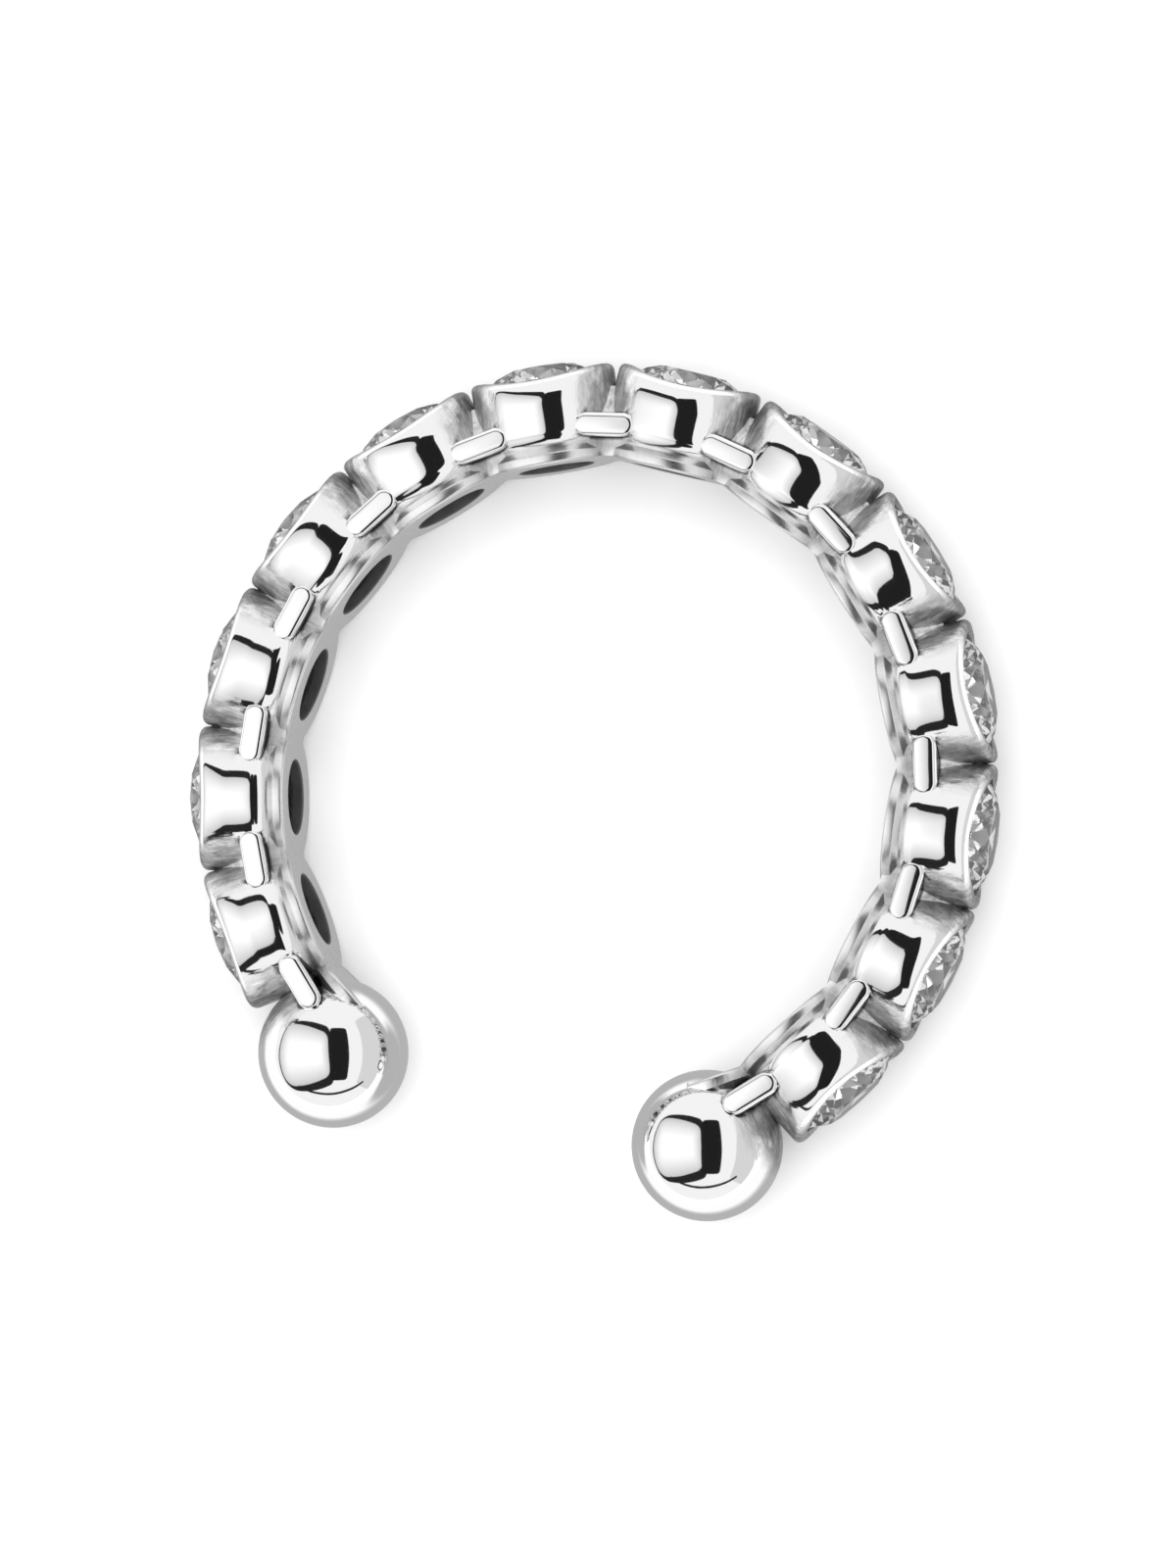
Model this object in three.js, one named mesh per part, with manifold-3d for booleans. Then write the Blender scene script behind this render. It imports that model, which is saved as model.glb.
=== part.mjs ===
import * as THREE from "three";
import { mergeVertices } from "three/addons/utils/BufferGeometryUtils.js";
import Module from "manifold-3d";

// Sizes are in millimetres. The cuff lies on its side: +Z is the axis of the hoop, +Y its crown, and the
// hoop is open towards -Y. Heights are measured outwards from its inner face, radii from a cup's own axis.

// The hoop is an oval. Its inner face is this far from the middle.
const HOOP_HALF_X = 4.43;
const HOOP_HALF_Y = 4.69;
const CUP_COUNT = 13;
const PITCH = 1.676; // from one cup to the next, along the inner face

// A cup, from its inner flange out to its rim.
const FLANGE_RADIUS = 1.0;
const FLANGE_THICK = 0.16;
const FLANGE_EDGE = 0.05; // rounding of the flange's edge
const GROOVE_RADIUS = 0.92;
const GROOVE_HEIGHT = 0.24;
const BARREL_FOOT = 0.32;
const BARREL_RADIUS = 1.06; // at its belly
const BELLY_HEIGHT = 0.93;
const FOOT_INSET = 0.08; // the barrel is narrower than its belly by this at its foot
const FOOT_ROUND = 0.2; // the height over which most of that is made up
const RIM_HEIGHT = 1.39;
const RIM_EDGE = 0.09; // the rim's rounded outer edge
const SHOULDER = 0.08; // on both sides of the band the barrel rounds in by this share of its width
const RIM_WALL = 0.06;
const DOME_RADIUS = 3.46; // the rims together follow this curve across the hoop's width

// The stone, a round brilliant, and the cup's bore under it.
const STONE_RADIUS = 0.87;
const GIRDLE_HEIGHT = 1.215; // underside of the girdle
const GIRDLE_THICK = 0.04;
const TABLE_RADIUS = 0.5;
const CROWN_THICK = 0.225;
const PAVILION_THICK = 0.74;
const STONE_GAP = 0.025; // between the stone and its seat
const SEAT_WIDTH = 0.2;
const LIP_RISE = 0.06; // the rim leans over the girdle by a lip this far above it
const HOLE_RADIUS = 0.535; // through the flange

// The web that fills a crevice between two neighbours, behind the bars.
const WEB_FOOT = 0.09;
const WEB_TOP = 1.13;
const WEB_LENGTH = 0.6; // along the hoop, most of it inside the cups
const WEB_REACH = 0.68; // from the middle of the hoop's width to a face

// The bars that bridge the crevices, and the end balls.
const BAR_HEIGHT = 0.53;
const BAR_THICK = 0.35;
const BAR_REACH = 0.86; // from the middle of the hoop's width to a bar's face
const BAR_EDGE = 0.1;
const BAR_LENGTH = 0.98;
const BALL_RADIUS = 1.1;
const BALL_HEIGHT = 0.89;
const BALL_STEP = 1.77; // from the last cup to the ball, along the inner face
const TAB_RADIUS = 0.74;
const TAB_BACK = 0.42; // the tab's middle lies this far from the ball's, towards the cups

const CUP_SIDES = 18;
const BALL_SIDES = 24;
const FACETS = 8;

const wasm = await Module();
wasm.setup();

// A closed geometry as a solid that can be joined and cut.
function solidOf(geometry) {
  const bare = geometry.clone();
  bare.deleteAttribute("normal");
  bare.deleteAttribute("uv");
  const merged = mergeVertices(bare, 1e-4);
  const kept = [];
  const index = merged.index.array;
  for (let i = 0; i < index.length; i += 3) {
    const [a, b, c] = [index[i], index[i + 1], index[i + 2]];
    if (a !== b && b !== c && c !== a) kept.push(a, b, c);
  }
  const vertProperties = merged.attributes.position.array;
  return new wasm.Manifold(new wasm.Mesh({ numProp: 3, vertProperties, triVerts: new Uint32Array(kept) }));
}

// A solid as a geometry.
function geometryOf(solid) {
  const mesh = solid.getMesh();
  const geometry = new THREE.BufferGeometry();
  geometry.setAttribute("position", new THREE.BufferAttribute(mesh.vertProperties, 3));
  geometry.setIndex(new THREE.BufferAttribute(mesh.triVerts, 1));
  geometry.computeVertexNormals();
  return geometry;
}

// A profile of [radius, height] pairs, from the axis at the bottom to the axis at the top, turned about it.
function turned(profile) {
  const points = profile.map(([radius, height]) => new THREE.Vector2(radius, height));
  return new THREE.LatheGeometry(points, CUP_SIDES);
}

// The place this far from the crown along the hoop's inner face. There X runs along the hoop and Y out of it.
function station(arc) {
  const STEPS = 400;
  let turn = 0;
  for (let i = 0; i < STEPS; i++) {
    const speed = Math.hypot(HOOP_HALF_X * Math.cos(turn), HOOP_HALF_Y * Math.sin(turn));
    turn += arc / STEPS / speed;
  }
  const place = new THREE.Object3D();
  place.position.set(HOOP_HALF_X * Math.sin(turn), HOOP_HALF_Y * Math.cos(turn), 0);
  place.rotation.z = -Math.atan2(HOOP_HALF_Y * Math.sin(turn), HOOP_HALF_X * Math.cos(turn));
  place.updateMatrix();
  return place;
}

function placed(geometry, place) {
  return solidOf(geometry.clone().applyMatrix4(place.matrix));
}

// How far the domed outline of the band has dropped at this distance from the middle of its width.
function dome(z) {
  return DOME_RADIUS - Math.sqrt(DOME_RADIUS ** 2 - z ** 2);
}

// The cup's outside, solid. Its rim sinks with the dome towards both sides of the band.
function cupOutside() {
  const geometry = turned([
    [0, 0],
    [FLANGE_RADIUS - FLANGE_EDGE, 0],
    [FLANGE_RADIUS, FLANGE_EDGE],
    [FLANGE_RADIUS, FLANGE_THICK],
    [GROOVE_RADIUS, GROOVE_HEIGHT],
    [BARREL_RADIUS - FOOT_INSET, BARREL_FOOT],
    [BARREL_RADIUS - FOOT_INSET / 5, BARREL_FOOT + FOOT_ROUND],
    [BARREL_RADIUS, BELLY_HEIGHT],
    [BARREL_RADIUS - RIM_EDGE / 4, RIM_HEIGHT - RIM_EDGE],
    [BARREL_RADIUS - RIM_EDGE, RIM_HEIGHT],
    [0, RIM_HEIGHT],
  ]);
  const position = geometry.attributes.position;
  for (let i = 0; i < position.count; i++) {
    const [height, z] = [position.getY(i), position.getZ(i)];
    const above = Math.max(height - BELLY_HEIGHT, 0) / (RIM_HEIGHT - BELLY_HEIGHT);
    position.setY(i, height - (height / RIM_HEIGHT) ** 3 * dome(z));
    position.setZ(i, z * (1 - SHOULDER * above ** 2));
  }
  return geometry;
}

// What is cut out of a cup: the flange's hole, the bore, the seat and the rim's opening over the girdle.
function cupInside() {
  const slope = PAVILION_THICK / STONE_RADIUS;
  const seat = STONE_RADIUS + STONE_GAP;
  const bore = seat - SEAT_WIDTH;
  const ledge = GIRDLE_HEIGHT - STONE_GAP;
  const lip = GIRDLE_HEIGHT + GIRDLE_THICK + LIP_RISE;
  return turned([
    [0, -FLANGE_THICK],
    [HOLE_RADIUS, -FLANGE_THICK],
    [HOLE_RADIUS, FLANGE_THICK],
    [bore, ledge - SEAT_WIDTH * slope],
    [seat, ledge],
    [seat - STONE_GAP, lip],
    [seat + STONE_GAP, RIM_HEIGHT + RIM_WALL],
    [0, RIM_HEIGHT + RIM_WALL],
  ]);
}

// A bar with rounded edges along the hoop, as wide as the band between its faces.
function bar() {
  const x = BAR_REACH - BAR_EDGE;
  const y = BAR_THICK / 2 - BAR_EDGE;
  const outline = new THREE.Shape();
  outline.absarc(x, BAR_HEIGHT + y, BAR_EDGE, 0, Math.PI / 2);
  outline.absarc(-x, BAR_HEIGHT + y, BAR_EDGE, Math.PI / 2, Math.PI);
  outline.absarc(-x, BAR_HEIGHT - y, BAR_EDGE, Math.PI, 1.5 * Math.PI);
  outline.absarc(x, BAR_HEIGHT - y, BAR_EDGE, 1.5 * Math.PI, 2 * Math.PI);
  const geometry = new THREE.ExtrudeGeometry(outline, {
    depth: BAR_LENGTH,
    bevelEnabled: false,
    curveSegments: 2,
  });
  geometry.translate(0, 0, -BAR_LENGTH / 2);
  return geometry.rotateY(Math.PI / 2);
}

function web() {
  const geometry = new THREE.BoxGeometry(WEB_LENGTH, WEB_TOP - WEB_FOOT, 2 * WEB_REACH);
  return geometry.translate(0, (WEB_FOOT + WEB_TOP) / 2, 0);
}

// The flange's rounded end under a ball. The ball's way along the hoop is given by the sign of side.
function tab(side) {
  const geometry = turned([
    [0, 0],
    [TAB_RADIUS - FLANGE_EDGE, 0],
    [TAB_RADIUS, FLANGE_EDGE],
    [TAB_RADIUS, FLANGE_THICK],
    [0, BALL_HEIGHT],
  ]);
  return geometry.translate(-side * TAB_BACK, 0, 0);
}

const LAST_CUP = ((CUP_COUNT - 1) / 2) * PITCH; // from the crown to the last cup
const LAST_BALL = LAST_CUP + BALL_STEP;

function cupPlace(i) {
  return station(i * PITCH - LAST_CUP);
}

function frameSolid() {
  const outside = cupOutside();
  const inside = cupInside();
  const ball = new THREE.SphereGeometry(BALL_RADIUS, BALL_SIDES, BALL_SIDES / 2).translate(0, BALL_HEIGHT, 0);
  let whole = null;
  const add = (geometry, place) => {
    const piece = placed(geometry, place);
    whole = whole ? whole.add(piece) : piece;
  };
  for (let i = 0; i < CUP_COUNT; i++) add(outside, cupPlace(i));
  for (let i = 1; i < CUP_COUNT; i++) {
    add(web(), cupPlace(i - 0.5));
    add(bar(), cupPlace(i - 0.5));
  }
  for (const side of [-1, 1]) {
    add(bar(), station(side * (LAST_CUP + BALL_STEP / 2)));
    add(ball, station(side * LAST_BALL));
    add(tab(side), station(side * LAST_BALL));
  }
  for (let i = 0; i < CUP_COUNT; i++) whole = whole.subtract(placed(inside, cupPlace(i)));
  return whole;
}

// A round brilliant standing on its axis: table, star facets, mains and halves above the girdle, halves and
// mains below it.
function stone() {
  const top = GIRDLE_HEIGHT + GIRDLE_THICK;
  const half = Math.PI / FACETS;
  const crown = CROWN_THICK / (STONE_RADIUS - TABLE_RADIUS);
  const pavilion = PAVILION_THICK / STONE_RADIUS;
  const star = (TABLE_RADIUS + STONE_RADIUS) / 2;
  const deep = STONE_RADIUS / 4;
  const vertices = [];
  const ring = (count, radius, height, turn) => {
    const first = vertices.length;
    for (let i = 0; i < count; i++) {
      const angle = (i / count) * 2 * Math.PI + turn;
      vertices.push([radius * Math.sin(angle), height, radius * Math.cos(angle)]);
    }
    return (i) => first + (((i % count) + count) % count);
  };
  const table = ring(FACETS, TABLE_RADIUS, top + CROWN_THICK, 0);
  const stars = ring(FACETS, star, top + CROWN_THICK - (star * Math.cos(half) - TABLE_RADIUS) * crown, half);
  const upper = ring(2 * FACETS, STONE_RADIUS, top, 0);
  const lower = ring(2 * FACETS, STONE_RADIUS, GIRDLE_HEIGHT, 0);
  const depth = GIRDLE_HEIGHT - PAVILION_THICK;
  const deeps = ring(FACETS, deep, depth + deep * Math.cos(half) * pavilion, half);
  const culet = ring(1, 0, depth, 0);
  const faces = [];
  for (let i = 0; i < FACETS; i++) {
    if (i > 1) faces.push([table(0), table(i - 1), table(i)]);
    faces.push([table(i), stars(i), table(i + 1)]);
    faces.push([table(i), stars(i - 1), upper(2 * i)]);
    faces.push([table(i), upper(2 * i), stars(i)]);
    faces.push([stars(i), upper(2 * i), upper(2 * i + 1)]);
    faces.push([stars(i), upper(2 * i + 1), upper(2 * i + 2)]);
    faces.push([deeps(i), lower(2 * i + 1), lower(2 * i)]);
    faces.push([deeps(i), lower(2 * i + 2), lower(2 * i + 1)]);
    faces.push([deeps(i), lower(2 * i), culet(0)]);
    faces.push([deeps(i), culet(0), lower(2 * i + 2)]);
  }
  for (let i = 0; i < 2 * FACETS; i++) {
    faces.push([upper(i), lower(i), lower(i + 1)]);
    faces.push([upper(i), lower(i + 1), upper(i + 1)]);
  }
  const geometry = new THREE.BufferGeometry();
  geometry.setAttribute("position", new THREE.Float32BufferAttribute(vertices.flat(), 3));
  geometry.setIndex(faces.flat());
  const flat = geometry.toNonIndexed();
  flat.computeVertexNormals();
  return flat;
}

const silver = new THREE.MeshStandardMaterial({ color: 0xd8d9da, roughness: 0.12, metalness: 1 });
const clear = new THREE.MeshStandardMaterial({ color: 0xeef1f4, roughness: 0.03, metalness: 0 });

const frame = new THREE.Mesh(geometryOf(frameSolid()), silver);
frame.name = "cuff_frame";

// The balls are the widest thing across the hoop, so the cuff lies on them. Its footprint is centred.
const crownTop = HOOP_HALF_Y + GIRDLE_HEIGHT + GIRDLE_THICK + CROWN_THICK;
const ballPlace = new THREE.Vector3(0, BALL_HEIGHT, 0).applyMatrix4(station(LAST_BALL).matrix);
const hoop = new THREE.Group();
hoop.name = "hoop";
hoop.position.set(0, -(crownTop + ballPlace.y - BALL_RADIUS) / 2, BALL_RADIUS);
hoop.add(frame);

for (let i = 0; i < CUP_COUNT; i++) {
  const mesh = new THREE.Mesh(stone(), clear);
  const place = cupPlace(i);
  mesh.name = "stone_" + String(i + 1).padStart(2, "0");
  mesh.position.copy(place.position);
  mesh.rotation.copy(place.rotation);
  hoop.add(mesh);
}

const cuff = new THREE.Group();
cuff.name = "ear_cuff";
cuff.add(hoop);

export default cuff;
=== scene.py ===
import math

import bpy
import numpy as np
from mathutils import Matrix, Vector


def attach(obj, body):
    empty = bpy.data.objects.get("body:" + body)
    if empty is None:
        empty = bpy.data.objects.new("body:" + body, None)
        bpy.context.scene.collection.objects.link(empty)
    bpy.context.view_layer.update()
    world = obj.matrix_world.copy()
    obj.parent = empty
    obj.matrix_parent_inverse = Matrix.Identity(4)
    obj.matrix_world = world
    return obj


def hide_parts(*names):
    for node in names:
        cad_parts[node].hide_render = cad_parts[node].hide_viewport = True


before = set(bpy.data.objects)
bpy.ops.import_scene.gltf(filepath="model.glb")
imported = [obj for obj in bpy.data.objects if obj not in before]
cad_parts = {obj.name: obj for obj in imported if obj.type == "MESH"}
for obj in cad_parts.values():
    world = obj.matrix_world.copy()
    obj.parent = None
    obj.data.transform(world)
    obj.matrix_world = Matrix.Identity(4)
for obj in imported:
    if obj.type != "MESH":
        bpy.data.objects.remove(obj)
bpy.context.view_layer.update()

# Sizes in millimetres, the solids' own but for a few finer edges. Heights are out from the hoop's inner face,
# radii from a cup's axis.
HOOP_HALF_X = 4.43
HOOP_HALF_Y = 4.69
CUP_COUNT = 13
PITCH = 1.676
FLANGE_RADIUS = 1.0
FLANGE_THICK = 0.16
FLANGE_EDGE = 0.05
GROOVE_RADIUS = 0.92
GROOVE_HEIGHT = 0.24
BARREL_FOOT = 0.32
BARREL_RADIUS = 1.06
BELLY_HEIGHT = 0.93
FOOT_INSET = 0.08
FOOT_ROUND = 0.2
RIM_HEIGHT = 1.39
RIM_EDGE = 0.09
SHOULDER = 0.11
DOME_RADIUS = 3.46
STONE_RADIUS = 0.87
GIRDLE_HEIGHT = 1.215
GIRDLE_THICK = 0.04
CROWN_THICK = 0.225
PAVILION_THICK = 0.74
STONE_GAP = 0.025
SEAT_WIDTH = 0.2
LIP_RISE = 0.06
HOLE_RADIUS = 0.535
HOLE_EDGE = 0.03
WEB_FOOT = 0.09
WEB_TOP = 1.13
WEB_LENGTH = 0.6
WEB_REACH = 0.68
WEB_HOLLOW = 0.05
BAR_HEIGHT = 0.53
BAR_THICK = 0.35
BAR_LENGTH = 0.9
BAR_REACH = 0.92
BAR_EDGE = 0.08
BALL_RADIUS = 1.1
BALL_HEIGHT = 0.89
BALL_STEP = 1.77
TAB_RADIUS = 0.74
TAB_BACK = 0.42
CUP_SIDES = 72
BALL_SIDES = 80
MM = 0.001

# Where the finish of the silver changes, and where painted shade darkens the bores and the bars' sides, in
# the same frame.
CREVICE_HALF = 0.46
CREVICE_FADE = 0.24
BORE_SHADE_TOP = 1.0
ON_SURFACE = 0.012
BRUSH_STRETCH = 0.22
OUTER_SHARE = 1.25

LAST_CUP = (CUP_COUNT - 1) / 2 * PITCH
LAST_BALL = LAST_CUP + BALL_STEP


# Places on the hoop

def station(arc):
    """The place this far from the crown along the hoop's inner face: X along the hoop, Y out of it."""
    steps = 400
    turn = 0.0
    for _ in range(steps):
        turn += arc / steps / math.hypot(HOOP_HALF_X * math.cos(turn), HOOP_HALF_Y * math.sin(turn))
    lean = -math.atan2(HOOP_HALF_Y * math.sin(turn), HOOP_HALF_X * math.cos(turn))
    at = Vector((HOOP_HALF_X * math.sin(turn), HOOP_HALF_Y * math.cos(turn), 0))
    return Matrix.Translation(at) @ Matrix.Rotation(lean, 4, "Z")


def cup_place(i):
    """The place of a cup's axis. A half number lies midway between two cups."""
    return station(i * PITCH - LAST_CUP)


def crevice_places():
    """The middle of each crevice: those between two cups, then the two beside the balls."""
    between = [cup_place(i - 0.5) for i in range(1, CUP_COUNT)]
    return between + [station(side * (LAST_CUP + BALL_STEP / 2)) for side in (-1, 1)]


CROWN_TOP = HOOP_HALF_Y + GIRDLE_HEIGHT + GIRDLE_THICK + CROWN_THICK
BALL_Y = (station(LAST_BALL) @ Vector((0, BALL_HEIGHT, 0))).y
HOOP_CENTRE = Vector((0, -(CROWN_TOP + BALL_Y - BALL_RADIUS) / 2, BALL_RADIUS))


# Forms of the silver body

def curved(points, steps=5):
    """A smooth line through [radius, height] points."""
    out = []
    ends = [points[0]] + points + [points[-1]]
    for a, b, c, d in zip(ends, ends[1:], ends[2:], ends[3:]):
        for i in range(steps):
            t = i / steps
            out.append([
                0.5 * (2 * q + (r - p) * t
                       + (2 * p - 5 * q + 4 * r - s) * t * t
                       + (3 * q - p - 3 * r + s) * t ** 3)
                for p, q, r, s in zip(a, b, c, d)
            ])
    return out + [points[-1]]


def corner(radius, height, size, start, end, steps=5):
    """A quarter turn of this size about a point, from one angle to another, in degrees."""
    turns = [math.radians(start + (end - start) * i / steps) for i in range(steps + 1)]
    return [[radius + size * math.cos(t), height + size * math.sin(t)] for t in turns]


def spun(name, profile, sides=CUP_SIDES):
    """A closed solid, turned about Y from a profile that starts and ends on the axis."""
    rings = profile[1:-1]
    verts = [(0, profile[0][1], 0)]
    for radius, height in rings:
        for i in range(sides):
            a = 2 * math.pi * i / sides
            verts.append((radius * math.sin(a), height, radius * math.cos(a)))
    verts.append((0, profile[-1][1], 0))
    faces = []
    last = len(verts) - 1
    for i in range(sides):
        j = (i + 1) % sides
        faces.append((0, 1 + j, 1 + i))
        for k in range(len(rings) - 1):
            low, high = 1 + k * sides, 1 + (k + 1) * sides
            faces.append((low + i, low + j, high + j, high + i))
        top = 1 + (len(rings) - 1) * sides
        faces.append((last, top + i, top + j))
    mesh = bpy.data.meshes.new(name)
    mesh.from_pydata(verts, [], faces)
    return mesh


def dome(z):
    """How far the rims sink at this place across the band."""
    return DOME_RADIUS - math.sqrt(DOME_RADIUS ** 2 - z ** 2)


def cup_outside():
    """The flange, the groove over it, the bellied barrel and the rounded rim, sunk with the band's dome."""
    profile = [[0, 0]]
    profile += corner(FLANGE_RADIUS - FLANGE_EDGE, FLANGE_EDGE, FLANGE_EDGE, -90, 0)
    half_edge = FLANGE_EDGE / 2
    profile += corner(FLANGE_RADIUS - half_edge, FLANGE_THICK - half_edge, half_edge, 0, 60, 3)
    profile += curved([
        [GROOVE_RADIUS, GROOVE_HEIGHT],
        [BARREL_RADIUS - FOOT_INSET, BARREL_FOOT],
        [BARREL_RADIUS - FOOT_INSET * 0.5, BARREL_FOOT + FOOT_ROUND * 0.45],
        [BARREL_RADIUS - FOOT_INSET * 0.2, BARREL_FOOT + FOOT_ROUND],
        [BARREL_RADIUS, BELLY_HEIGHT],
    ])[:-1]
    straight, rings = RIM_HEIGHT - RIM_EDGE - BELLY_HEIGHT, 10
    profile += [[BARREL_RADIUS, BELLY_HEIGHT + straight * i / rings] for i in range(rings)]
    profile += corner(BARREL_RADIUS - RIM_EDGE, RIM_HEIGHT - RIM_EDGE, RIM_EDGE, 0, 90, 8)
    profile.append([0, RIM_HEIGHT])
    mesh = spun("cup_outside", profile)
    for v in mesh.vertices:
        height, z = v.co.y, v.co.z
        above = max(height - BELLY_HEIGHT, 0) / (RIM_HEIGHT - BELLY_HEIGHT)
        v.co.y -= max(height / RIM_HEIGHT, 0) ** 3 * dome(z)
        v.co.z *= 1 - SHOULDER * above ** 2
    return mesh


def cup_inside():
    """The flange's hole, the bore, the stone's seat and the rim's lip over the girdle."""
    slope = PAVILION_THICK / STONE_RADIUS
    seat = STONE_RADIUS + STONE_GAP
    bore = seat - SEAT_WIDTH
    ledge = GIRDLE_HEIGHT - STONE_GAP
    lip = GIRDLE_HEIGHT + GIRDLE_THICK + LIP_RISE
    profile = [[0, -0.1], [HOLE_RADIUS + 2 * HOLE_EDGE, -0.1]]
    profile += corner(HOLE_RADIUS + HOLE_EDGE, HOLE_EDGE, -HOLE_EDGE, 90, 0, 4)
    profile += [
        [HOLE_RADIUS, FLANGE_THICK],
        [bore, GROOVE_HEIGHT],
        [bore, ledge - SEAT_WIDTH * slope],
        [seat, ledge],
        [seat - STONE_GAP, lip],
        [seat, RIM_HEIGHT - 0.03],
        [seat + 0.05, RIM_HEIGHT + 0.05],
        [0, RIM_HEIGHT + 0.05],
    ]
    return spun("cup_inside", profile)


def bar():
    """A rod with round ends and softened faces, that bridges a crevice on both sides of the band."""
    half = BAR_LENGTH / 2 - BAR_THICK / 2
    steps, edge_steps = 12, 6
    levels = []
    for i in range(edge_steps + 1):
        t = math.pi / 2 * i / edge_steps
        levels.append((BAR_REACH - BAR_EDGE * (1 - math.sin(t)), BAR_EDGE * (1 - math.cos(t))))
    levels = [(-z, inset) for z, inset in levels] + [(z, inset) for z, inset in reversed(levels)]
    levels = sorted(set((round(z, 6), round(inset, 6)) for z, inset in levels))
    verts = []
    for z, inset in levels:
        for side, start in ((1, -90), (-1, 90)):
            for i in range(steps + 1):
                a = math.radians(start + 180 * i / steps)
                r = BAR_THICK / 2 - inset
                verts.append((side * half + r * math.cos(a), BAR_HEIGHT + r * math.sin(a), z))
    ring = 2 * (steps + 1)
    faces = [tuple(reversed(range(ring))), tuple(range(len(verts) - ring, len(verts)))]
    for k in range(len(levels) - 1):
        for i in range(ring):
            j = (i + 1) % ring
            faces.append((k * ring + i, k * ring + j, (k + 1) * ring + j, (k + 1) * ring + i))
    mesh = bpy.data.meshes.new("bar")
    mesh.from_pydata(verts, [], faces)
    return mesh


def web():
    """The fill of a crevice between two neighbours, hollowed along its middle and tapering to its top."""
    across, up = 8, 24
    neck, taper = 0.4, 0.58
    verts = []
    for side in (-1, 1):
        for j in range(up + 1):
            for i in range(across + 1):
                x = WEB_LENGTH * (i / across - 0.5)
                sunk = WEB_HOLLOW * math.cos(math.pi * x / WEB_LENGTH) ** 2
                t = max(j / up - neck, 0) / (1 - neck)
                reach = (WEB_REACH + 0.02 - sunk) * (1 - taper * t ** 1.3)
                verts.append((x, WEB_FOOT + (WEB_TOP - WEB_FOOT) * j / up, side * reach))
    row, layer = across + 1, (across + 1) * (up + 1)
    faces = []
    for j in range(up):
        for i in range(across):
            a = j * row + i
            faces.append((a, a + row, a + row + 1, a + 1))
            faces.append((layer + a, layer + a + 1, layer + a + row + 1, layer + a + row))
    edge = [i for i in range(row)] + [j * row + across for j in range(1, up + 1)]
    edge += [up * row + i for i in reversed(range(across))] + [j * row for j in reversed(range(1, up))]
    for a, b in zip(edge, edge[1:] + edge[:1]):
        faces.append((a, b, layer + b, layer + a))
    mesh = bpy.data.meshes.new("web")
    mesh.from_pydata(verts, [], faces)
    return mesh


def ball():
    """The ball on an end of the hoop."""
    profile = [[0, BALL_HEIGHT - BALL_RADIUS]]
    profile += corner(0, BALL_HEIGHT, BALL_RADIUS, -90, 90, BALL_SIDES // 2)[1:-1]
    profile.append([0, BALL_HEIGHT + BALL_RADIUS])
    return spun("ball", profile, BALL_SIDES)


def tab(side):
    """The end of the inner flange, which rises in a cone to the ball's middle."""
    profile = [[0, 0]]
    profile += corner(TAB_RADIUS - FLANGE_EDGE, FLANGE_EDGE, FLANGE_EDGE, -90, 0)
    profile += [[TAB_RADIUS, FLANGE_THICK], [0.1, BALL_HEIGHT], [0, BALL_HEIGHT]]
    mesh = spun("tab", profile)
    mesh.transform(Matrix.Translation((-side * TAB_BACK, 0, 0)))
    return mesh


def whole(name, joined, cut):
    """One solid from meshes and their places: all of joined, less all of cut."""
    def put(mesh, place):
        made = mesh.copy()
        made.transform(place)
        obj = bpy.data.objects.new(name + "_piece", made)
        bpy.context.scene.collection.objects.link(obj)
        return obj
    body = put(*joined[0])
    pieces = [(put(m, p), "UNION") for m, p in joined[1:]] + [(put(m, p), "DIFFERENCE") for m, p in cut]
    for piece, operation in pieces:
        step = body.modifiers.new(operation, "BOOLEAN")
        step.object = piece
        step.operation = operation
        step.solver = "MANIFOLD"
    graph = bpy.context.evaluated_depsgraph_get()
    mesh = bpy.data.meshes.new_from_object(body.evaluated_get(graph))
    for obj in [body] + [piece for piece, _ in pieces]:
        bpy.data.objects.remove(obj)
    mesh.name = name
    return mesh


def local_points(points, place):
    """The same points, in the frame of a place on the hoop."""
    back = np.array(place.inverted())
    return points @ back[:3, :3].T + back[:3, 3]


def crevice_depth(points):
    """How deep each point lies in a crevice between two neighbours, where the polishing wheel can't reach."""
    deep = np.zeros(len(points))
    for place in crevice_places():
        local = local_points(points, place)
        along, height, across = np.abs(local[:, 0]), local[:, 1], np.abs(local[:, 2])
        near = np.clip((CREVICE_HALF - along) / CREVICE_FADE, 0, 1)
        out = np.clip((height - 0.1) / 0.1, 0, 1)
        bridged = np.abs(height - BAR_HEIGHT) < BAR_THICK / 2 + 0.01
        on_bar = bridged & (across > WEB_REACH + 0.03) & (along < BAR_LENGTH / 2)
        deep = np.maximum(deep, near * out * np.where(on_bar, 0.0, 1.0))
    return deep


def bore_shade_depth(points):
    """One on the walls of a cup's hole and bore up to the stone's seat, none outside; there the silver gets
    painted shade, dark grey.
    """
    deep = np.zeros(len(points))
    for i in range(CUP_COUNT):
        local = local_points(points, cup_place(i))
        radius, height = np.hypot(local[:, 0], local[:, 2]), local[:, 1]
        wall = (radius < HOLE_RADIUS + HOLE_EDGE * 0.8) & (height > -0.01)
        bore = (radius < STONE_RADIUS - 0.02) & (height > FLANGE_THICK + 0.01) & (height < BORE_SHADE_TOP)
        deep = np.maximum(deep, np.where(wall | bore, 1.0, 0.0))
    return deep


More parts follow.
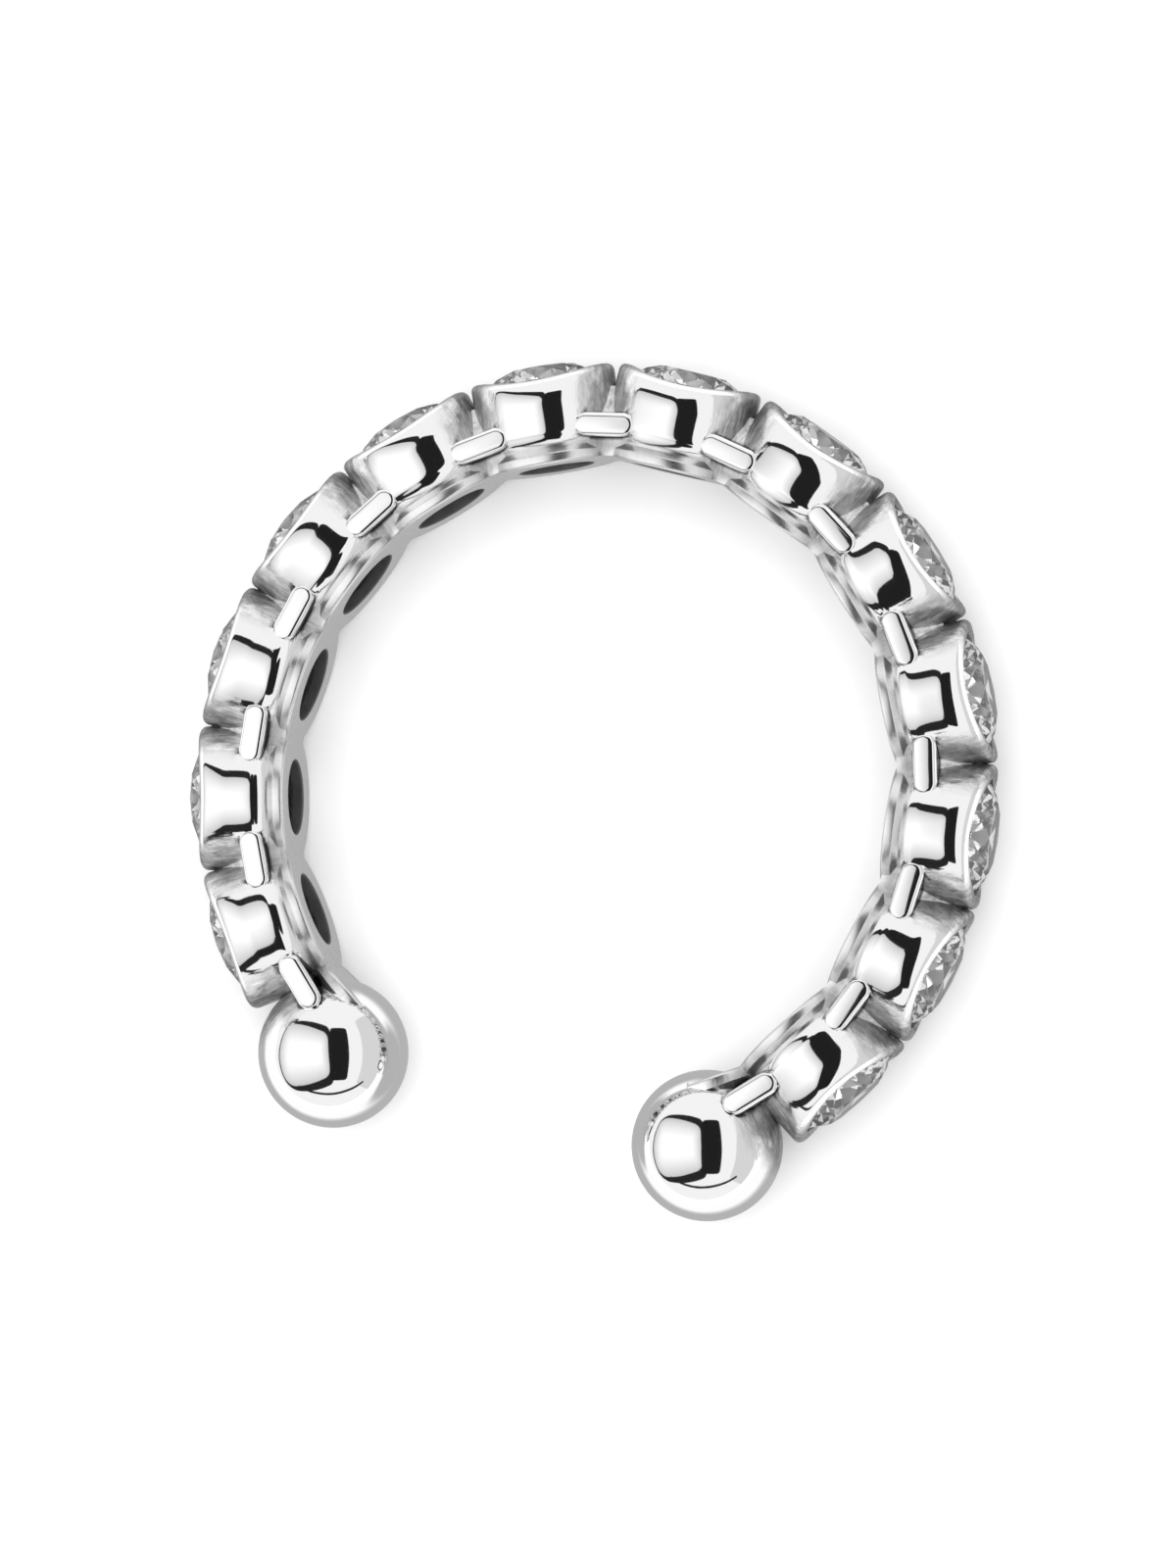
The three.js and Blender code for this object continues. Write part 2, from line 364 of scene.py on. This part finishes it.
def strap_depth(points):
    """One on the flanges and their necks, which are left duller than the barrels and the balls."""
    height = brush_marks(points)[:, 1] / BRUSH_STRETCH
    deep = np.clip((BARREL_FOOT + 0.04 - height) / 0.12, 0, 1)
    for side in (-1, 1):
        centre = station(side * LAST_BALL) @ Vector((0, BALL_HEIGHT, 0))
        deep[np.linalg.norm(points - np.array(centre), axis=1) < BALL_RADIUS + 0.01] = 0
    return deep


def bar_side_shade_depth(points):
    """One on the steep sides of the bars, where they stand out of a crevice; there the silver gets painted
    shade, near black.
    """
    deep = np.zeros(len(points))
    half = BAR_LENGTH / 2 - BAR_THICK / 2
    for place in crevice_places():
        local = local_points(points, place)
        past_end, across = np.maximum(np.abs(local[:, 0]) - half, 0), np.abs(local[:, 2])
        off = np.hypot(past_end, local[:, 1] - BAR_HEIGHT) - BAR_THICK / 2
        side = (np.abs(off) < ON_SURFACE) & (across < BAR_REACH - BAR_EDGE + 0.01)
        deep = np.maximum(deep, np.where(side & (across > WEB_REACH - 0.3), 1.0, 0.0))
    return deep


def brush_marks(points):
    """Each point as arc, height over the inner face and place across the band. Streaks follow the height."""
    turn = np.arctan2(points[:, 0] / HOOP_HALF_X, points[:, 1] / HOOP_HALF_Y)
    inner = np.hypot(HOOP_HALF_X * np.sin(turn), HOOP_HALF_Y * np.cos(turn))
    height = np.hypot(points[:, 0], points[:, 1]) - inner
    arc = turn * (HOOP_HALF_X + HOOP_HALF_Y) / 2 * OUTER_SHARE
    return np.stack([arc, height * BRUSH_STRETCH, points[:, 2]], axis=1)


def silver_body():
    """The whole silver body, with the attributes that its finish reads."""
    outside, inside, rod, fill, end = cup_outside(), cup_inside(), bar(), web(), ball()
    cups = [cup_place(i) for i in range(CUP_COUNT)]
    joined = [(outside, place) for place in cups]
    crevices = crevice_places()
    for place in crevices[:-2]:
        joined += [(fill, place), (rod, place)]
    for side, place in zip((-1, 1), crevices[-2:]):
        at_ball = station(side * LAST_BALL)
        joined += [(rod, place), (end, at_ball), (tab(side), at_ball)]
    mesh = whole("silver_body", joined, [(inside, place) for place in cups])
    points = np.zeros(len(mesh.vertices) * 3)
    mesh.vertices.foreach_get("co", points)
    depths = {"crevice": crevice_depth, "bore": bore_shade_depth, "bar_side_shade": bar_side_shade_depth, "strap": strap_depth}
    for name, depth in depths.items():
        values = depth(points.reshape(-1, 3)).astype(np.float32)
        mesh.attributes.new(name, "FLOAT", "POINT").data.foreach_set("value", values)
    marks = brush_marks(points.reshape(-1, 3)).astype(np.float32).reshape(-1)
    mesh.attributes.new("brush", "FLOAT_VECTOR", "POINT").data.foreach_set("vector", marks)
    mesh.transform(Matrix.Scale(MM, 4) @ Matrix.Translation(HOOP_CENTRE))
    mesh.polygons.foreach_set("use_smooth", [True] * len(mesh.polygons))
    mesh.set_sharp_from_angle(angle=math.radians(32))
    obj = bpy.data.objects.new("silver_body", mesh)
    bpy.context.scene.collection.objects.link(obj)
    weigh = obj.modifiers.new("Weighted", "WEIGHTED_NORMAL")
    weigh.keep_sharp = True
    weigh.weight = 80
    graph = bpy.context.evaluated_depsgraph_get()
    shaded = bpy.data.meshes.new_from_object(obj.evaluated_get(graph))
    obj.modifiers.clear()
    obj.data = shaded
    shaded.name = "silver_body"
    return obj


# Materials

class Wire:
    """A socket of a material, so that shader maths reads as plain sums."""

    def __init__(self, finish, socket):
        self.finish = finish
        self.socket = socket

    def math(self, operation, a, b=None):
        values = [a] if b is None else [a, b]
        return self.finish.node("ShaderNodeMath", {"operation": operation}, values)

    def __add__(self, other):
        return self.math("ADD", self, other)

    def __sub__(self, other):
        return self.math("SUBTRACT", self, other)

    def __rsub__(self, other):
        return self.math("SUBTRACT", other, self)

    def __mul__(self, other):
        return self.math("MULTIPLY", self, other)

    __radd__ = __add__
    __rmul__ = __mul__


class Finish:
    """A material made node by node."""

    def __init__(self, name, **constants):
        self.material = bpy.data.materials.new(name)
        self.material.use_nodes = True
        self.tree = self.material.node_tree
        self.shader = self.tree.nodes["Principled BSDF"]
        for socket, value in constants.items():
            self.shader.inputs[socket.replace("_", " ")].default_value = value

    def node(self, kind, settings=None, values=(), out=0):
        """A node of this type, with its settings, then its sockets' values or links."""
        made = self.tree.nodes.new(kind)
        for key, value in (settings or {}).items():
            if key == "stops":
                for i, (at, colour) in enumerate(value):
                    element = made.color_ramp.elements[i] if i < 2 else made.color_ramp.elements.new(at)
                    element.position = at
                    element.color = (*colour, 1)
            else:
                setattr(made, key, value)
        pairs = values.items() if isinstance(values, dict) else enumerate(values)
        for key, value in pairs:
            if isinstance(value, Wire):
                self.tree.links.new(value.socket, made.inputs[key])
            else:
                made.inputs[key].default_value = value
        return Wire(self, made.outputs[out])

    def noise(self, scale, detail=2.0, roughness=0.5, at=None):
        at = at or self.node("ShaderNodeTexCoord", out="Object")
        values = {"Vector": at, "Scale": scale, "Detail": detail, "Roughness": roughness}
        return self.node("ShaderNodeTexNoise", None, values)

    def mix(self, factor, a, b):
        settings = {"data_type": "RGBA"}
        return self.node("ShaderNodeMix", settings, {0: factor, 6: a, 7: b}, out=2)

    def feed(self, **wires):
        """Links wires to the shader's sockets and gives the material."""
        for socket, wire in wires.items():
            self.tree.links.new(wire.socket, self.shader.inputs[socket.replace("_", " ")])
        return self.material


def polished_silver():
    """Bright polish with a faint casting ripple, a streaked dull skin in the crevices, and painted shade:
    dark bores and near-black sides on the bars.
    """
    f = Finish("polished_silver", Metallic=1.0)
    crevice, bore, bar_side_shade, strap = [
        f.node("ShaderNodeAttribute", {"attribute_name": name}, out="Fac")
        for name in ("crevice", "bore", "bar_side_shade", "strap")
    ]
    brush = f.node("ShaderNodeAttribute", {"attribute_name": "brush"}, out="Vector")
    height = f.node("ShaderNodeSeparateXYZ", None, [brush], out=1) * (1 / BRUSH_STRETCH)
    pits = f.noise(9000.0, 4.0, 0.65)
    patches = f.noise(2200.0, 2.0, 0.5)
    streaks = f.noise(9.0, 4.0, 0.6, brush)
    hairs = f.noise(17.0, 3.0, 0.65, brush)
    ripple = f.noise(1100.0, 2.0, 0.5)
    upward = (height - 0.75) * 0.16
    mottle = streaks * 0.3 + hairs * 0.3 + patches * 0.2 + pits * 0.2 + upward
    spots = f.node("ShaderNodeValToRGB", {"stops": [(0.44, (0, 0, 0)), (0.63, (1, 1, 1))]}, [mottle])
    skin = f.mix(spots, (0.93, 0.93, 0.935, 1), (0.32, 0.32, 0.325, 1))
    worn = f.mix(crevice, (0.94, 0.94, 0.945, 1), skin)
    strapped = f.mix(strap * streaks, worn, (0.80, 0.80, 0.805, 1))
    # Painted shade: the bars' steep sides turn near black.
    bar_side_shaded = f.mix(bar_side_shade, strapped, (0.05, 0.05, 0.052, 1))
    # Painted shade: the holes and bores turn dark grey.
    colour = f.mix(bore, bar_side_shaded, (0.22, 0.22, 0.225, 1))
    rough = crevice * (patches * 0.3 + 0.15) + bore * 0.35 + strap * 0.22 + patches * 0.02 + 0.045
    relief = crevice * (pits * 0.5 + streaks * 1.2) + ripple * 0.28
    normal = f.node("ShaderNodeBump", None, {"Strength": 0.5, "Distance": 3e-5, "Height": relief})
    return f.feed(Base_Color=colour, Roughness=rough, Normal=normal)


def clear_stone():
    """A clear cut stone with the faintest haze in it."""
    f = Finish("clear_stone", Transmission_Weight=1.0, IOR=2.15)
    haze = f.noise(3000.0, 2.0)
    colour = f.mix(haze, (1.0, 1.0, 1.0, 1), (0.93, 0.94, 0.95, 1))
    return f.feed(Base_Color=colour, Roughness=haze * 0.02)


def floor_paper():
    """The plain pale floor, with a faint fleck."""
    f = Finish("floor_paper", Specular_IOR_Level=0.1)
    fleck = f.noise(900.0, 3.0)
    colour = f.mix(fleck, (0.90, 0.90, 0.90, 1), (0.93, 0.93, 0.93, 1))
    return f.feed(Base_Color=colour, Roughness=fleck * 0.1 + 0.8)


def soft_glow(name, edge, middle):
    """A lit cloth that grows from the edge's brightness to the middle's, by the attribute lit."""
    f = Finish(name, Base_Color=(0, 0, 0, 1), Roughness=1.0, Specular_IOR_Level=0.0, Emission_Strength=middle)
    lit = f.node("ShaderNodeAttribute", {"attribute_name": "lit"}, out="Fac")
    share = edge / middle
    return f.feed(Emission_Color=f.mix(lit, (share, share, share, 1), (1, 1, 1, 1)))


def glow(name, strength):
    """An evenly lit or dark card."""
    f = Finish(name)
    light = f.node("ShaderNodeEmission", None, {"Color": (1, 1, 1, 1), "Strength": strength})
    f.tree.links.new(light.socket, f.tree.nodes["Material Output"].inputs["Surface"])
    return f.material


# The pieces

body = silver_body()
body.data.materials.clear()
body.data.materials.append(polished_silver())
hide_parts("cuff_frame")
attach(body, "root")

stone_material = clear_stone()
for name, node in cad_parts.items():
    if name.startswith("stone"):
        node.data.materials.clear()
        node.data.materials.append(stone_material)
        node.data.polygons.foreach_set("use_smooth", [False] * len(node.data.polygons))


# Camera, at the photograph's angle: the picture's right and up lie nearly in the hoop's plane

FRAME_WIDTH, FRAME_HEIGHT = 1200, 1600
PIXELS_PER_MM = 70.0
ROLL = math.radians(13.37)
LEAN_RIGHT = math.radians(10.0)
LEAN_UP = math.radians(-1.5)
FOCAL_PIXELS = 9000.0
DISTANCE = FOCAL_PIXELS / PIXELS_PER_MM
SENSOR = 36.0
RING_PIXEL = (606.66, 800.78)

flat_right = Vector((math.cos(ROLL), math.sin(ROLL), 0))
flat_up = Vector((-math.sin(ROLL), math.cos(ROLL), 0))
BACK = (Vector((0, 0, 1)) + flat_right * math.tan(LEAN_RIGHT) + flat_up * math.tan(LEAN_UP)).normalized()
RIGHT = (flat_right - BACK * flat_right.dot(BACK)).normalized()
UP = BACK.cross(RIGHT)
offset = RIGHT * ((FRAME_WIDTH / 2 - RING_PIXEL[0]) / PIXELS_PER_MM)
offset += UP * ((RING_PIXEL[1] - FRAME_HEIGHT / 2) / PIXELS_PER_MM)
camera = bpy.data.objects.new("camera", bpy.data.cameras.new("camera"))
bpy.context.scene.collection.objects.link(camera)
eye = (HOOP_CENTRE + BACK * DISTANCE + offset) * MM
camera.matrix_world = Matrix.Translation(eye) @ Matrix((RIGHT, UP, BACK)).transposed().to_4x4()
camera.data.sensor_fit = "VERTICAL"
camera.data.sensor_height = SENSOR
camera.data.lens = SENSOR * FOCAL_PIXELS / FRAME_HEIGHT
camera.data.clip_start = 0.001
camera.data.clip_end = 20.0
bpy.context.scene.camera = camera


# Floor, light and the cards that the silver mirrors

def mirrored_only(obj):
    """The silver and the stones see it, the camera and the floor don't."""
    obj.visible_camera = False
    obj.visible_diffuse = False
    obj.visible_shadow = False


def staged(name, verts, faces, material, place=None):
    """A flat thing of the studio, which isn't part of the cuff."""
    mesh = bpy.data.meshes.new(name)
    mesh.from_pydata(verts, [], faces)
    mesh.materials.append(material)
    obj = bpy.data.objects.new(name, mesh)
    obj.matrix_world = place or Matrix()
    bpy.context.scene.collection.objects.link(obj)
    return obj


def facing(side, rise, reach):
    """A place at this reach in metres that faces the hoop, side and rise in degrees from the camera."""
    a, b = math.radians(side), math.radians(rise)
    towards = RIGHT * math.sin(a) * math.cos(b) + UP * math.sin(b) + BACK * math.cos(a) * math.cos(b)
    across = UP.cross(towards).normalized()
    turned = Matrix((across, towards.cross(across), towards)).transposed().to_4x4()
    return Matrix.Translation(HOOP_CENTRE * MM + towards * reach) @ turned


CARD_ROUNDING = 0.17
DARK_CARD = 0.1
WINDOW_REACH = 0.055


def round_outline(left, right, low, high, reach, flare=0.0):
    """A rectangle with round corners, from angles in degrees, taller at its right by the share flare."""
    left, right, low, high = (math.tan(math.radians(angle)) * reach for angle in (left, right, low, high))
    r = min(right - left, high - low) * CARD_ROUNDING
    middles = ((right - r, high - r), (left + r, high - r), (left + r, low + r), (right - r, low + r))
    out = []
    for i, (x, y) in enumerate(middles):
        for px, py in corner(x, y, r, 90 * i, 90 * i + 90, 8):
            out.append((px, py * (1 + flare * (px - left) / (right - left)), 0))
    return out


def card(name, side, rise, edges, strength, reach, flare=0.0):
    """A card that the silver mirrors. A dark one isn't seen through the stones."""
    outline = round_outline(*edges, reach, flare)
    face = tuple(range(len(outline)))
    made = staged(name, outline, [face], glow(name, strength), facing(side, rise, reach))
    mirrored_only(made)
    made.visible_transmission = strength > DARK_CARD


def window():
    """The lit window, brightest in its middle."""
    edge = round_outline(-38, 42.5, -40, 40, WINDOW_REACH)
    core = round_outline(-20, 27, -8, 10, WINDOW_REACH)
    n = len(edge)
    faces = [(i, (i + 1) % n, n + (i + 1) % n, n + i) for i in range(n)] + [tuple(range(n, 2 * n))]
    obj = staged("window", edge + core, faces, soft_glow("window", 0.62, 1.15), facing(-51, -5, WINDOW_REACH))
    obj.data.attributes.new("lit", "FLOAT", "POINT").data.foreach_set("value", [0.0] * n + [1.0] * n)
    mirrored_only(obj)


def shade_paper():
    """A paper under the cuff, seen only in the silver and the stones: painted contact shadow, grey beneath
    the cuff and fading to white, for the silhouette's grey edge.
    """
    half, cells, shift = 12.0, 96, 0.55
    grey_half, fade, ball_extra, lift = 2.1, 1.5, 0.6, 0.00002
    stops = 80
    arcs = [(2 * i / stops - 1) * LAST_CUP for i in range(stops + 1)]
    line = [station(arc) @ Vector((0, RIM_HEIGHT / 2, 0)) for arc in arcs]
    balls = [station(side * LAST_BALL) @ Vector((0, BALL_HEIGHT, 0)) for side in (-1, 1)]
    steps = np.linspace(-half, half, cells + 1)
    x, y = np.meshgrid(steps, steps)
    away = np.full(x.shape, 99.0)
    for at, extra in [(at, 0.0) for at in line] + [(at, ball_extra) for at in balls]:
        away = np.minimum(away, np.hypot(x + shift - at.x, y - HOOP_CENTRE.y - at.y) - extra)
    lit = np.clip((away - grey_half) / fade, 0, 1)
    lit = lit * lit * (3 - 2 * lit)
    verts = [(px * MM, py * MM, lift) for px, py in zip(x.ravel(), y.ravel())]
    row = cells + 1
    faces = [(j * row + i, j * row + i + 1, (j + 1) * row + i + 1, (j + 1) * row + i)
             for j in range(cells) for i in range(cells)]
    obj = staged("shade_paper", verts, faces, soft_glow("shade_paper", 0.47, 1.05))
    values = lit.ravel().astype(np.float32)
    obj.data.attributes.new("lit", "FLOAT", "POINT").data.foreach_set("value", values)
    mirrored_only(obj)


FLOOR_HALF, FLOOR_DROP = 1.5, 2e-6
FLOOR = [(x * FLOOR_HALF, y * FLOOR_HALF, -FLOOR_DROP) for x, y in ((-1, -1), (1, -1), (1, 1), (-1, 1))]
staged("floor", FLOOR, [(0, 1, 2, 3)], floor_paper())
shade_paper()

# Name, side and rise, the angles of its edges from there, strength, reach in metres and flare to the right.
CARDS = [
    ("window_frame", -51, -6, (-40, 48, -44, 44), 0.02, 0.057, 0.45),
    ("dark_middle", 5, -3, (-13, 17.5, -41, 41), 0.015, 0.056),
    ("panel_right", 70, 0, (-25, 25, -50, 50), 0.70, 0.058),
    ("dark_strip_low", -8, -66, (-42, 42, -2, 2), 0.02, 0.055),
]
window()
for values in CARDS:
    card(*values)

world = bpy.data.worlds.new("studio")
world.use_nodes = True
world.node_tree.nodes["Background"].inputs["Color"].default_value = (1, 1, 1, 1)
world.node_tree.nodes["Background"].inputs["Strength"].default_value = 0.95
bpy.context.scene.world = world

key = bpy.data.lights.new("key", "AREA")
key.shape = "DISK"
key.size = 0.4
key.energy = 0.75
key_object = bpy.data.objects.new("key", key)
key_object.visible_glossy = False
key_object.visible_transmission = False
bpy.context.scene.collection.objects.link(key_object)
key_from = RIGHT * -0.04 + UP * 0.03 + BACK * 0.3
key_object.matrix_world = Matrix.Translation(key_from) @ key_from.to_track_quat("Z", "Y").to_matrix().to_4x4()

bpy.context.scene.view_settings.view_transform = "Standard"
